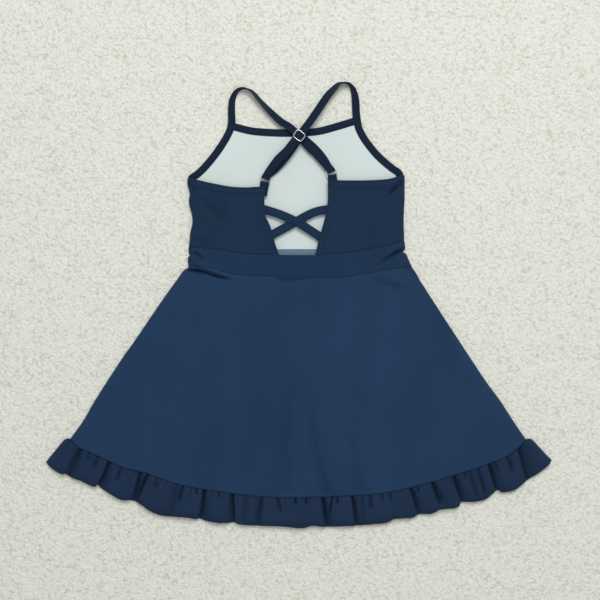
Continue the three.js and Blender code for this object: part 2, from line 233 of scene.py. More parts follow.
# ribbed elastic: cords along the strap and a slanted weave
def elastic(name, colour):
    f = Finish(name, Sheen_Weight=0.05, Sheen_Roughness=0.4, Specular_IOR_Level=0.18)
    along, across, _ = f.parts(f.place(uv=True))
    cords = (across * turns(0.00118)).sine()
    weave = (along * turns(0.0011) + across * turns(0.0022)).sine()
    fuzz = f.noise(f.place(), 900, 2, 0.6)
    tone = f.mix(cords * 0.2 + weave * 0.2 + 0.4, shade(colour, 0.72), shade(colour, 1.3))
    return f.show(tone, fuzz * 0.15 + 0.58, cords * 0.7 + weave * 0.5 + fuzz * 0.3, 0.0003, 0.8)


# the white knit of the linings
def liningCloth(name, colour):
    f = Finish(name, Sheen_Weight=0.1, Sheen_Roughness=0.5, Specular_IOR_Level=0.25)
    at = f.place()
    x, y, _ = f.parts(at)
    loops = (x * turns(0.0008)).sine() * (y * turns(0.001)).sine()
    mottle = f.noise(at, 18, 4, 0.6)
    tone = f.mix(mottle, shade(colour, 0.96), shade(colour, 1.04))
    return f.show(tone, mottle * 0.1 + 0.72, loops * 0.6 + f.noise(at, 900) * 0.7, 0.00015, 0.5)


# the facing: a slanted weave of two blues
def facingCloth(name, dark, pale):
    f = Finish(name, Specular_IOR_Level=0.25)
    at = f.place()
    x, y, _ = f.parts(at)
    weave = ((x + y) * turns(0.0021)).sine() * ((x - y) * turns(0.0021)).sine()
    speck = f.noise(at, 700, 2, 0.7)
    tone = f.ramp(weave * 0.22 + speck * 0.9, [(0.3, dark), (0.62, pale)])
    return f.show(tone, speck * 0.1 + 0.75, weave + speck, 0.0002, 0.6)


# bright plated wire, slightly clouded
def nickel(name):
    f = Finish(name, Metallic=1.0, Specular_IOR_Level=0.5)
    at = f.place()
    cloud = f.noise(at, 220, 3, 0.6)
    scratch = f.noise(f.place(scale=(1, 14, 1)), 420, 2, 0.5)
    tone = f.mix(cloud, (0.72, 0.72, 0.74), (0.88, 0.88, 0.9))
    return f.show(tone, cloud * 0.12 + 0.16, scratch, 0.00002, 0.25)


# the floor: curled pile, with painted shade in the gaps between curls and lighter curl tops
def fleece(name, colour):
    f = Finish(name, Specular_IOR_Level=0.15)
    at = f.place()
    drift = f.node("ShaderNodeTexNoise", {}, {"Vector": at, "Scale": 160.0})[1]
    warped = f.node("ShaderNodeVectorMath", {"operation": "MULTIPLY_ADD"}, {
        0: drift, 1: (0.010, 0.010, 0.010), 2: at})[0]
    tufts = f.node("ShaderNodeTexVoronoi", {"feature": "SMOOTH_F1"}, {
        "Vector": warped, "Scale": 250.0, "Smoothness": 0.6})[0]
    curls = f.noise(at, 330, 4, 0.62)
    patches = f.noise(at, 40, 3, 0.6)
    lift = curls - tufts * 0.65 + patches * 0.25
    # painted shade in the gaps between the curls, lighter tops on the raised curls
    curlGapShade = tuple(c * k for c, k in zip(colour, (0.75, 0.765, 0.70)))
    tone = f.ramp(lift + 0.16, [(0.18, curlGapShade), (0.46, shade(colour, 0.98)),
                                (0.8, shade(colour, 1.08))])
    return f.show(tone, curls * 0.1 + 0.85, lift, 0.0024, 0.62)


bodiceNavy = linear(20, 43, 68)
paint = {
    "skirt": knit("skirtKnit", linear(28, 53, 83)),
    "bodice": knit("bodiceKnit", bodiceNavy),
    "waist": knit("waistKnit", linear(22, 46, 73)),
    "ruffle": knit("ruffleKnit", linear(24, 44, 70), turn=0.3),
    "band": trimCloth("backBand", bodiceNavy, (0.0022, 0.0078)),
    "trim": trimCloth("frontBand", linear(15, 32, 51), (0.0074,)),
    "tape": trimCloth("tapeCloth", linear(14, 33, 55), (0.0015, 0.0095)),
    "cross": trimCloth("crossCloth", bodiceNavy, (0.0015, 0.0093)),
    "elastic": elastic("strapElastic", linear(15, 34, 56)),
    "lining": liningCloth("liningKnit", linear(207, 217, 214)),
    "facing": facingCloth("facingWeave", linear(78, 100, 122), linear(122, 146, 166)),
    "metal": nickel("nickelWire"),
}
print("materials made")

bpy.ops.mesh.primitive_plane_add(size=room["floorSize"], location=(0, 0, room["floorLevel"]))
floor = bpy.context.object
floor.name = "floor"
floor.data.materials.append(fleece("fleeceFloor", linear(228, 228, 217)))


# cloth helpers, all in millimetres

def soft(t):
    t = np.clip(t, 0, 1)
    return t * t * (3 - 2 * t)


def curve(points):
    # a smooth line through a few points, asked for by its share from 0 to 1
    p = np.array(points, float)
    ends = np.vstack([2 * p[0] - p[1], p, 2 * p[-1] - p[-2]])
    gaps = np.linalg.norm(np.diff(p, axis=0), axis=1)
    knots = np.concatenate([[0], np.cumsum(gaps)]) / gaps.sum()

    def at(share):
        share = np.asarray(share, float)
        k = np.clip(np.searchsorted(knots, share, side="right") - 1, 0, len(p) - 2)
        s = ((share - knots[k]) / (knots[k + 1] - knots[k]))[..., None]
        a, b, c, d = (ends[k + i] for i in range(4))
        return 0.5 * (2 * b + (c - a) * s + (2 * a - 5 * b + 4 * c - d) * s ** 2
                      + (3 * b - a - 3 * c + d) * s ** 3)
    return at


def patch(left, right, bottom, top, u, v):
    # a sheet stretched between four edge curves
    u, v = u[None, :, None], v[:, None, None]
    l, r = left(v[:, 0, 0])[:, None], right(v[:, 0, 0])[:, None]
    b, t = bottom(u[0, :, 0])[None], top(u[0, :, 0])[None]
    corners = (1 - u) * (1 - v) * b[:, :1] + u * (1 - v) * b[:, -1:] \
        + (1 - u) * v * t[:, :1] + u * v * t[:, -1:]
    return (1 - u) * l + u * r + (1 - v) * b + v * t - corners


def spread(count, ends=(True, True)):
    # shares from 0 to 1, closer together at the chosen ends
    t = np.linspace(0, 1, count)
    if ends[0] and ends[1]:
        return (t + (1 - np.cos(math.pi * t)) / 2) / 2
    if ends[0]:
        return (t + 1 - np.cos(math.pi / 2 * t)) / 2
    return (t + np.sin(math.pi / 2 * t)) / 2


def undulation(x, y, length, seed, count=6):
    # a smooth seeded ripple between about -1 and 1
    rng = np.random.default_rng(seed)
    total = 0
    for _ in range(count):
        angle, wave = rng.uniform(0, 2 * math.pi), length * rng.uniform(0.7, 1.5)
        total = total + np.sin((x * math.cos(angle) + y * math.sin(angle)) * 2 * math.pi / wave
                               + rng.uniform(0, 6.3))
    return total / count


def crease(x, y, points, widths, rise, fades=(0.3, 0.3)):
    # a ridge, or a valley where rise is below nought, along a smooth line;
    # its two widths are to the left and to the right of the way it runs
    steps = 24
    line = curve(points)(np.linspace(0, 1, steps + 1))
    near, aside, share = np.full(np.shape(x), 1e9), np.zeros(np.shape(x)), np.zeros(np.shape(x))
    for k in range(steps):
        (ax, ay), (bx, by) = line[k], line[k + 1]
        length = math.hypot(bx - ax, by - ay)
        t = ((x - ax) * (bx - ax) + (y - ay) * (by - ay)) / length ** 2
        t = np.clip(t, -9 if k == 0 else 0, 9 if k == steps - 1 else 1)  # the two ends run on
        side = ((y - ay) * (bx - ax) - (x - ax) * (by - ay)) / length
        gone = np.hypot(x - ax - t * (bx - ax), y - ay - t * (by - ay))
        closer = gone < near
        near = np.where(closer, gone, near)
        aside = np.where(closer, np.sign(side) * gone, aside)
        share = np.where(closer, (k + t) / steps, share)
    left, right = widths if isinstance(widths, tuple) else (widths, widths)
    width = np.where(aside > 0, left, right)
    ends = soft(share / fades[0]), soft((1 - share) / fades[1])
    return rise * np.exp(-(aside / width) ** 2) * ends[0] * ends[1]


def creased(z, x, y, creases):
    # adds each crease of a list to a height
    for line in creases:
        z = z + crease(x, y, *line)
    return z


def bothWays(points):
    # how far along the rows each point is, and how far from their ends
    along = lengths(points)
    return along, along[:, -1:] - along


def roll(distance, width):
    # 0 at a folded edge, rising steeply and then level: a quarter of an oval
    t = np.clip(distance / width, 0, 1)
    return np.sqrt(np.maximum(0, 1 - (1 - t) ** 2))


def travelled(line):
    # how far along a line each of its points is
    return np.concatenate([[0], np.cumsum(np.linalg.norm(np.diff(line, axis=0), axis=1))])


def lengths(points):
    # how far along the rows each point is
    steps = np.linalg.norm(np.diff(points, axis=1), axis=2)
    return np.concatenate([np.zeros((len(points), 1)), np.cumsum(steps, axis=1)], axis=1)


def pick(piece):
    bpy.ops.object.select_all(action="DESELECT")
    piece.select_set(True)
    bpy.context.view_layer.objects.active = piece


def cloth(name, points, wall, finish, measure=None, offset=-1.0, paintedShade=0):
    # a closed sheet from a grid of points, its wall on the lower side; the last argument is the painted
    # shade of each point, from 0 for none to 1 deep in a fold
    rows, columns = points.shape[:2]
    flat = points.reshape(-1, 3) * mm
    grid = np.arange(rows * columns).reshape(rows, columns)
    corners = [grid[:-1, :-1], grid[:-1, 1:], grid[1:, 1:], grid[1:, :-1]]
    faces = np.stack(corners, -1).reshape(-1, 4)
    a, b, c = flat[faces[:, 0]], flat[faces[:, 1]], flat[faces[:, 2]]
    if np.cross(b - a, c - b)[:, 2].sum() < 0:
        faces = faces[:, ::-1]
    mesh = bpy.data.meshes.new(name)
    mesh.from_pydata(flat.tolist(), [], faces.tolist())
    if measure is None:
        measure = points[..., :2]
    uv = mesh.uv_layers.new(name="cloth")
    index = np.zeros(len(mesh.loops), int)
    mesh.loops.foreach_get("vertex_index", index)
    uv.data.foreach_set("uv", (measure.reshape(-1, 2)[index] * mm).ravel())
    # the painted shade goes into the fold attribute that the cloth materials read
    shadeLayer = mesh.attributes.new("fold", "FLOAT", "POINT")
    shadeLayer.data.foreach_set("value", np.clip(paintedShade + np.zeros((rows, columns)), 0, 1).ravel())
    piece = bpy.data.objects.new(name, mesh)
    bpy.context.scene.collection.objects.link(piece)
    mesh.materials.append(finish)
    pick(piece)
    modifier = piece.modifiers.new("wall", "SOLIDIFY")
    modifier.thickness, modifier.offset = wall * mm, offset
    bpy.ops.object.modifier_apply(modifier=modifier.name)
    bpy.ops.object.shade_smooth_by_angle(angle=math.radians(60))
    return piece


def area(points):
    # the area of a grid of points, in square metres
    a = points[1:, :-1] - points[:-1, :-1]
    b = points[:-1, 1:] - points[:-1, :-1]
    return float(np.linalg.norm(np.cross(a, b), axis=2).sum()) * mm * mm


def wear(piece, points, slot, nodes, width, length, held="laid", on="floor"):
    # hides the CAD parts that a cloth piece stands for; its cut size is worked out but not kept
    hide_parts(*nodes)
    cut = min(area(points), width * length * mm * mm)
    width * mm
    length * mm
    max(cut, 0.31 * width * length * mm * mm)


# outlines of the dress as it lies

outline = {
    "sideLeft": [
        (-138, 71.6), (-136.8, 82), (-135.8, 92), (-133.2, 104), (-134.2, 115), (-137, 125),
        (-137.6, 132), (-136.6, 139), (-138.2, 147), (-139.7, 153), (-139.2, 159.5),
    ],
    "sideRight": [
        (132, 79.5), (131.6, 90), (131.3, 104), (131.6, 118), (132.4, 134), (132.4, 150),
        (132, 163),
    ],
    "seamLeft": [
        (-138, 71.6), (-123, 71.2), (-92, 68), (-82, 65.8), (-65, 64), (-44, 63), (-24.6, 62.8),
    ],
    "seamRight": [(20.6, 62.8), (52, 64.4), (70, 66.5), (89, 70), (110, 74.4), (132, 79.5)],
    "topLeft": [
        (-139.2, 159.5), (-125, 156), (-112, 153), (-96.5, 149.9), (-82, 147.6), (-65, 146.9),
        (-55, 147.5), (-42.6, 148),
    ],
    "topRight": [
        (36.2, 156.4), (48, 155.9), (61, 155.6), (87, 155.8), (107.6, 157), (117, 158.8),
        (132, 163),
    ],
    "keyLeft": [
        (-24.6, 62.8), (-31, 81.5), (-34.4, 95.2), (-38.4, 104.6), (-42, 113), (-43, 125.4),
        (-42.9, 135), (-42.6, 148),
    ],
    "keyRight": [(20.6, 62.8), (24.4, 80), (30.6, 102), (35.2, 121), (36.3, 140), (36.2, 156.4)],
    "armLeft": [
        (-139.2, 159.5), (-136.6, 163.4), (-128, 169.5), (-117, 181), (-105, 196.4), (-96, 210.5),
        (-90.5, 221.5), (-88.9, 229.5),
    ],
    "armRight": [
        (132, 163), (127, 170.2), (120, 175), (109, 184), (98, 195), (86.5, 210), (80, 222),
        (77.4, 231.5),
    ],
    "neck": [(-79.8, 228), (-55, 222.4), (-17, 220.4), (20, 222), (45, 228), (68.5, 235.2)],
    "waistLeft": [
        (-137.4, 46.4), (-138.4, 53), (-138.6, 59), (-135.8, 62.6), (-137.4, 65.6), (-138, 71.6),
    ],
    "waistRight": [
        (141.6, 47.4), (137, 57), (134.4, 63.4), (129.6, 67), (132.6, 71.2), (132, 79.5),
    ],
    "skirtSeam": [
        (-137.4, 46.4), (-124.7, 49.4), (-105, 45.2), (-90, 41.2), (-76, 38.4), (-44, 36.6),
        (-10, 35.6), (26, 35), (57, 35.2), (76, 39.4), (89, 40.6), (106, 44.2), (141.6, 47.4),
    ],
    "skirtLeft": [
        (-286.6, -167.6), (-269.8, -144), (-255, -118.4), (-222.5, -68), (-205, -43.4),
        (-171, 6.6), (-152, 33), (-145.6, 42), (-141.4, 45.2), (-137.4, 46.4),
    ],
    "skirtRight": [
        (284.3, -168), (267.6, -143.4), (251.4, -118.4), (233, -93.4), (200, -43.4), (166.5, 8),
        (157.6, 22.2), (152.4, 30), (147.2, 39.6), (141.6, 47.4),
    ],
    "hem": [
        (-286.6, -167.6), (-274.7, -177.4), (-256, -185.6), (-234, -195.5), (-217.4, -203.4),
        (-194.5, -208.3), (-175.7, -214.8), (-155, -222.4), (-132, -227.4), (-97.6, -232.8),
        (-56, -237.9), (-15.3, -240), (26.4, -238.9), (68, -237.4), (99.3, -235.2),
        (126.4, -230.4), (162.8, -221.5), (200.3, -210.2), (236.8, -197.6), (259.7, -188.2),
        (276, -176), (284.3, -168),
    ],
    "ruffleFoot": [
        (-315.6, -195.4), (-311, -200.7), (-303, -206.9), (-294.5, -210.8), (-291, -210.2),
        (-282, -215.3), (-271.5, -219), (-260, -224.6), (-254, -226.2), (-251, -223.8),
        (-246, -228.4), (-235, -235.2), (-223.6, -241.6), (-216, -243.4), (-210, -243),
        (-202, -245.4), (-193, -251), (-186, -256), (-176, -260.6), (-167, -262.6), (-155, -263.4),
        (-139, -264.8), (-129, -266.6), (-124, -265.8), (-118, -268), (-108, -270.2),
        (-92, -271.6), (-81, -270.6), (-76, -272.6), (-66, -274), (-46.5, -274.8), (-20, -275.8),
        (-5, -277.4), (1.4, -278), (8, -277.2), (17, -274.6), (26, -275.6), (37, -276.2),
        (68, -274.8), (94, -272.8), (106, -271.6), (113, -269.4), (119, -266.4), (137, -265.2),
        (143, -264), (148.6, -261), (157.6, -260.2), (164, -260.2), (169, -258.4), (175.3, -255),
        (185, -253.8), (193.5, -253), (199.4, -250.6), (201.6, -246), (206, -245.2), (220, -244.9),
        (232.6, -241.8), (240, -236), (246, -231.2), (250, -231.4), (252.6, -233.2), (260, -232.4),
        (269, -230), (275, -226), (285, -217.9), (295, -211.6), (305.5, -203.8), (311.8, -198.6),
        (315.6, -193.2),
    ],
}
outline["ruffleTop"] = [(-293.2, -168)] + outline["hem"] + [(290, -167.6)]
edge = {name: curve(points) for name, points in outline.items()}


def joined(*names):
    # one edge curve run on from another
    points = [p for name in names for p in outline[name]]
    return curve([p for i, p in enumerate(points) if i == 0 or p != points[i - 1]])


# how high the layers lie
levels = {"backTop": 10.7, "backLining": 9.6, "bandTop": 11.3, "bandFoot": 8.5,
          "frontTop": 1.6, "frontLining": 2.4, "waistTop": 10.8, "skirtTop": 10.0}

# bodice; each crease is its line, its width or two widths, its rise and how its ends fade
backBodice = {
    "cloth": 0.8, "lining": 0.5, "height": 85, "seamDip": 0.6, "sideWidth": 13, "edgeDrop": 8.0,
    "cut": (118, 104),
    "creases": [
        ([(-131, 138), (-112, 122), (-84, 104)], 6, -0.9),
        ([(-133, 124), (-112, 108), (-90, 96)], 5, 0.6),
        ([(130, 156), (121, 146), (106, 130)], (1.8, 3.2), -2.8, (0.15, 0.5)),
        ([(128, 146), (119, 138), (110, 128)], 4, 0.9),
        ([(-137, 84), (-116, 78), (-98, 76)], 4, -0.6),
        ([(66, 150), (70, 120), (62, 88)], 11, 0.5),
    ],
}


def bodiceRipple(x, y):
    # soft wrinkles of the back bodice, shared by its cloth, bands and lining
    return creased(0.35 * undulation(x, y, 70, 3), x, y, backBodice["creases"])


def backPanel(side, lining):
    left = side == "Left"
    u, v = spread(80, (left, not left)), np.linspace(0, 1, 70)
    if left:
        plan = patch(edge["sideLeft"], edge["keyLeft"], edge["seamLeft"], edge["topLeft"], u, v)
        distance, inner = bothWays(plan)
    else:
        plan = patch(edge["keyRight"], edge["sideRight"], edge["seamRight"], edge["topRight"], u, v)
        inner, distance = bothWays(plan)
    x, y = plan[..., 0], plan[..., 1]
    rise = v[:, None] * backBodice["height"]
    if lining:
        # kept inside the folds of the bands
        x = x + (4.6 * np.exp(-distance / 20) - 2.8 * np.exp(-inner / 12)) * (1 if left else -1)
        y = y - 3.2 * v[:, None] ** 4
        paintedShade = 0
        z = levels["backLining"] + bodiceRipple(x, y) - 5.2 * (1 - roll(distance + 1.5, 16))
    else:
        z = levels["backTop"] + bodiceRipple(x, y)
        # painted shade: darker in the bodice's creases and along its seam at the bottom
        paintedShade = np.clip(-bodiceRipple(x, y) / 2.6, 0, 1)
        paintedShade = np.maximum(paintedShade, 0.45 * np.exp(-rise / 1.2))
        z = z - backBodice["edgeDrop"] * (1 - roll(distance, backBodice["sideWidth"]))
        z = z - backBodice["seamDip"] * (1 - roll(rise, 1.6))
    points = np.stack([x, y, z], -1)
    name = f"back{'Lining' if lining else 'Bodice'}{side}"
    piece = cloth(name, points, backBodice["lining" if lining else "cloth"],
                  paint["lining" if lining else "bodice"], paintedShade=paintedShade)
    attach(piece, "garment")
    node = f"back_{'lining' if lining else 'bodice'}_{side.lower()}"
    wear(piece, points, "lining" if lining else "bodice_fabric", [node], *backBodice["cut"])


for side in ("Left", "Right"):
    for lining in (False, True):
        backPanel(side, lining)
print("back bodice made")


band = {"wall": 0.45, "edge": 0.9, "crown": 0.14, "groove": 0.34, "grooveWidth": 0.45, "cut": 2.2,
        "back": 10.0, "keyhole": 8.0, "front": 9.4}


def foldedBand(name, line, inward, low, high, ripple, finish, node, rows, width):
    # a band folded over an edge: over the top, round the fold and back below; rows are
    # the seams' distances from the fold
    length = float(np.linalg.norm(np.diff(line, axis=0), axis=1).sum())
    across = np.concatenate([np.linspace(width, 1.2, 26), np.linspace(1.0, 0, 5)])
    turn = np.linspace(0, math.pi, 9)[1:-1]
    middle, half = (low + high) / 2, (high - low) / 2
    flats = [(a, high + (band["crown"] * math.sin(math.pi * a / width) ** 2
                         - sum(band["groove"] * math.exp(-((a - r) / band["grooveWidth"]) ** 2)
                               for r in rows)))
             for a in across if a >= band["edge"]]
    fold = [(band["edge"] - band["edge"] * math.sin(t), middle + half * math.cos(t)) for t in turn]
    under = [(a, low) for a in np.linspace(band["edge"], width - 0.6, 6)]
    section = flats + fold + under
    points = np.zeros((len(section), len(line), 3))
    measure = np.zeros((len(section), len(line), 2))
    run = travelled(line)
    for k, (a, z) in enumerate(section):
        plan = line + inward * a
        points[k, :, 0], points[k, :, 1] = plan[:, 0], plan[:, 1]
        points[k, :, 2] = z + ripple(plan[:, 0], plan[:, 1])
        measure[k, :, 0], measure[k, :, 1] = run, a
    piece = cloth(name, points, band["wall"], paint[finish], measure)
    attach(piece, "garment")
    wear(piece, points, "trim", [node], width * band["cut"], length, "folded", "frontBodice")


def inwardOf(line, sideways):
    # a unit direction across a line of plan points
    ahead = np.gradient(line, axis=0)
    ahead /= np.linalg.norm(ahead, axis=1)[:, None]
    return np.stack([ahead[:, 1], -ahead[:, 0]], -1) * sideways


def backRipple(side):
    # the height of the back cloth, so that its bands lie along it
    sideEdge = edge["side" + side](np.linspace(0, 1, 60))

    def ripple(x, y):
        near = np.interp(y, sideEdge[:, 1], sideEdge[:, 0])
        distance = np.abs(x - near) * np.where(side == "Left", x > near, x < near)
        drop = backBodice["edgeDrop"] * 0.86
        return bodiceRipple(x, y) - drop * (1 - roll(distance, backBodice["sideWidth"]))
    return ripple


def level(x, y):
    return 0 * x


for side in ("Left", "Right"):
    line = edge["top" + side](spread(110))
    inward = inwardOf(line, 1)
    corner = line[0 if side == "Left" else -1]
    outer = np.exp(-np.linalg.norm(line - corner, axis=1) / 14)[:, None]
    down = np.array([0.09 if side == "Left" else 0.0, -1])
    inward = inward * (1 - outer) + down * outer
    foldedBand(f"topBinding{side}", line, inward, levels["bandFoot"], levels["bandTop"],
               backRipple(side), "band", f"back_top_binding_{side.lower()}", (3.4, 8.6), band["back"])
    line = edge["key" + side](np.linspace(0.01, 0.885, 90))
    foldedBand(f"keyholeBinding{side}", line, inwardOf(line, -1 if side == "Left" else 1),
               levels["bandFoot"], levels["bandTop"] - 0.1, backRipple(side), "band",
               f"keyhole_binding_{side.lower()}", (1.8, 5.2), band["keyhole"])
print("back bands made")


front = {
    "cut": (274, 172), "topInset": 1.6, "underarm": 160,
    "creases": [
        ([(-69, 213), (-60, 196), (-48, 176)], 2.5, -0.5),
        ([(68, 224), (58, 212), (50, 204)], 2.5, -0.5),
    ],
}


def frontRipple(x, y):
    return creased(0.12 * undulation(x, y, 60, 11), x, y, front["creases"])


def frontPanel(name, top, wall, finish, node, slot, inset):
    u, v = spread(90), np.linspace(0, 1, 110)
    left, right = joined("sideLeft", "armLeft"), joined("sideRight", "armRight")
    bottom = curve([(-138, 71.6), (-70, 64), (0, 62), (60, 65), (132, 79.5)])
    neckline = curve([(-88.9, 229.5), (-79.8, 228), (-55, 222.4), (-17, 220.4), (20, 222), (45, 228),
                      (68.5, 235.2), (77.4, 231.5)])
    plan = patch(left, right, bottom, neckline, u, v)
    middle = plan.mean(axis=(0, 1))
    distance = np.minimum(*bothWays(plan))
    x, y = plan[..., 0], plan[..., 1]
    x = x - np.sign(x - middle[0]) * inset * np.exp(-distance / 12)
    y = y - (inset + front["topInset"]) * v[:, None] ** 8
    if finish == "lining":
        z = top + frontRipple(x, y) * 0.6
    else:
        z = top + np.where(y < front["underarm"], 0.75 * (1 - roll(distance, 5)), 0)
    points = np.stack([x, y, z], -1)
    piece = cloth(name, points, wall, paint[finish])
    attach(piece, "garment")
    wear(piece, points, slot, [node], *front["cut"])


frontPanel("frontBodice", levels["frontTop"], 0.8, "bodice", "front_bodice_outer",
           "bodice_fabric", 1.4)
frontPanel("frontLining", levels["frontLining"], 0.45, "lining", "front_bodice_lining",
           "lining", 3.4)

for side in ("Left", "Right"):
    line = edge["arm" + side](np.linspace(0.02, 1, 110))
    foldedBand(f"armholeBinding{side}", line, inwardOf(line, 1 if side == "Left" else -1), 0.1, 3.0,
               level, "trim", f"front_armhole_binding_{side.lower()}", (7.4,), band["front"])
line = edge["neck"](np.linspace(0, 1, 130))
foldedBand("neckBinding", line, inwardOf(line, 1), 0.15, 2.95, level, "trim",
           "front_neck_binding", (7.4,), band["front"])
print("front bodice made")


# cross straps in the keyhole

crossStraps = {"width": 10.8, "wall": 0.9, "along": 90, "across": 13}


def crossStrap(name, node, points, heights):
    width, along = crossStraps["width"], crossStraps["along"]
    line = curve(points)(np.linspace(0, 1, along))
    aside = inwardOf(line, 1)
    z = curve([(i, h) for i, h in enumerate(heights)])(np.linspace(0, 1, along))[:, 1]
    across = np.linspace(-0.5, 0.5, crossStraps["across"])
    grid = np.zeros((len(across), along, 3))
    measure = np.zeros((len(across), along, 2))
    run = travelled(line)
    for k, a in enumerate(across):
        grid[k, :, :2] = line + aside * a * width
        grid[k, :, 2] = z - 0.5 * (2 * abs(a)) ** 6
        measure[k] = np.stack([run, np.full(along, (a + 0.5) * width)], -1)
    piece = cloth(name, grid, crossStraps["wall"], paint["cross"], measure)
    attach(piece, "garment")
    wear(piece, grid, "trim", [node], width, float(run[-1]), "stretched", "frontBodice")


crossStrap("crossStrapOver", "cross_strap_over",
           [(-48, 121.5), (-41, 119), (-24, 113.5), (-3.6, 104.5), (12, 95), (25, 86.5), (33, 81.5)],
           [8.0, 8.1, 8.9, 9.5, 8.9, 8.1, 8.0])
crossStrap("crossStrapUnder", "cross_strap_under",
           [(42, 119.5), (35, 119.5), (22, 117), (10, 112), (-3.6, 104.3), (-18, 96.5),
            (-31, 89.5), (-38, 85.5)],
           [8.0, 8.0, 7.9, 7.9, 8.0, 8.0])
print("cross straps made")


# waistband, skirt and ruffle

waist = {
    "columns": 190, "rows": 30, "height": 29, "drop": 8.0, "sideWidth": 13, "cut": (290, 34),
    "facingShare": 0.975,
    "creases": [
        ([(-139, 44.6), (-124, 43.4), (-104, 36.8), (-78, 29.6)], (0.9, 1.9), -4.0, (0.02, 0.4)),
        ([(-138, 44), (-126, 42), (-112, 38)], (2.6, 3.0), -2.4, (0.02, 0.6)),
        ([(-134, 50), (-121, 47.6), (-102, 40.8), (-76, 31.8)], (6, 1.8), 2.6, (0.2, 0.35)),
        ([(-132, 67), (-126, 62), (-119, 55)], (2.4, 1.6), -2.0, (0.3, 0.3)),
        ([(-127, 68), (-121, 63), (-114, 57)], 3, 0.8),
        ([(-34, 35.4), (-23, 32.2), (-8, 32), (16, 33)], (1.4, 3), -1.5),
        ([(133, 72), (122, 67), (112, 60), (94, 48.6)], (3.0, 1.3), -3.6, (0.02, 0.7)),
        ([(128, 74), (114, 66), (100, 56)], 3, 1.0),
        ([(148, 38.6), (139, 43), (127, 48.6)], (2, 4), -2.2, (0.05, 0.5)),
        ([(87, 37.4), (110, 26.4), (136, 19)], (3.5, 6), -1.1),
        ([(95, 43), (116, 34), (140, 28)], 6, 0.9),
    ],
}
skirt = {
    "columns": 230, "rows": 150, "height": 275, "drop": 8.2, "sideWidth": 15, "wall": 0.9,
    "cut": (572, 300),
    "creases": [
        ([(-12, -90), (-18, -170), (-15, -238)], (5, 8), -1.3, (0.5, 0.05)),
        ([(10, -70), (22, -190), (31, -220), (35, -238)], (4, 8), -2.4, (0.6, 0.02)),
        ([(22, -80), (38, -190), (50, -238)], 7, 1.2, (0.5, 0.05)),
        ([(60, -130), (72, -205), (82, -236)], (4, 7), -1.4, (0.5, 0.02)),
        ([(-205, -20), (-262, -150)], 9, 0.6),
        ([(150, 30), (200, -60)], 10, -0.8),
        ([(-165, 16), (-235, -90)], 8, 0.5),
        ([(-86, 22), (-60, 12)], 5, -0.7),
    ],
}


def waistRipple(x, y):
    # creases that run across the waist, shared by waistband and skirt
    return creased(0, x, y, waist["creases"])


def skirtRipple(x, y):
    # long soft folds and a gentle waviness, more of it near the hem
    low = soft((60 - y) / 260)
    z = 0.9 * undulation(x, y * 0.4, 95, 5) * (0.35 + low)
    return creased(z + 0.25 * undulation(x, y * 0.6, 38, 8) * low, x, y, skirt["creases"])


def waistPanel(name, back, facing, node):
    u, v = spread(waist["columns"]), np.linspace(0, 1, waist["rows"])
    topPoints = outline["seamLeft"] + outline["seamRight"]
    if facing and not back:
        topPoints = [(x, y + 7.5 * math.exp(-(x / 70) ** 4)) for x, y in topPoints]
    plan = patch(edge["waistLeft"], edge["waistRight"], edge["skirtSeam"], curve(topPoints), u, v)
    distance = np.minimum(*bothWays(plan))
    x, y = plan[..., 0], plan[..., 1]
    fromFoot, fromTop = v[:, None] * waist["height"], (1 - v[:, None]) * waist["height"]
    seams = 0.5 * (1 - roll(fromFoot, 1.2)) + 0.7 * (1 - roll(fromTop, 1.3))
    paintedShade = 0
    if back and not facing:
        # painted shade in the waist creases
        paintedShade = np.clip(-waistRipple(x, y) / 3.6, 0, 1) ** 1.2
        side = 1 - roll(distance, waist["sideWidth"])
        z = levels["waistTop"] + waistRipple(x, y) - waist["drop"] * side - 0.9 * seams
        z = z + 0.2 * undulation(x, y, 40, 21)
    elif back:
        x = x * waist["facingShare"]
        z = 9.3 + np.minimum(waistRipple(x, y), 0) - 5.4 * (1 - roll(distance + 1, 16))
    elif facing:
        x = x * waist["facingShare"]
        z = 3.1 + 0 * x
    else:
        z = 1.1 + 0.9 * (1 - roll(distance, 5)) - 0.3 * seams
    points = np.stack([x, y, z], -1)
    piece = cloth(name, points, 0.6 if facing else 0.9, paint["facing" if facing else "waist"],
                  paintedShade=paintedShade)
    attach(piece, "garment")
    wear(piece, points, "facing" if facing else "bodice_fabric", [node], *waist["cut"])


waistPanel("waistbandBack", True, False, "waistband_back")
waistPanel("waistbandFacingBack", True, True, "waistband_facing_back")
waistPanel("waistbandFront", False, False, "waistband_front")
waistPanel("waistbandFacingFront", False, True, "waistband_facing_front")


def puckers(x, seed):
    # narrow uneven grooves where cloth is gathered, from 0 to 1
    shift = undulation(x, 0 * x, 60, seed, 4) * 9 + undulation(x, 0 * x, 23, seed + 1, 4) * 3
    grooves = (1 - np.abs(np.sin((x + shift) * math.pi / 8.2))) ** 4.0
    return grooves * np.clip(0.62 + 0.6 * undulation(x, 0 * x, 31, seed + 2), 0, 1)


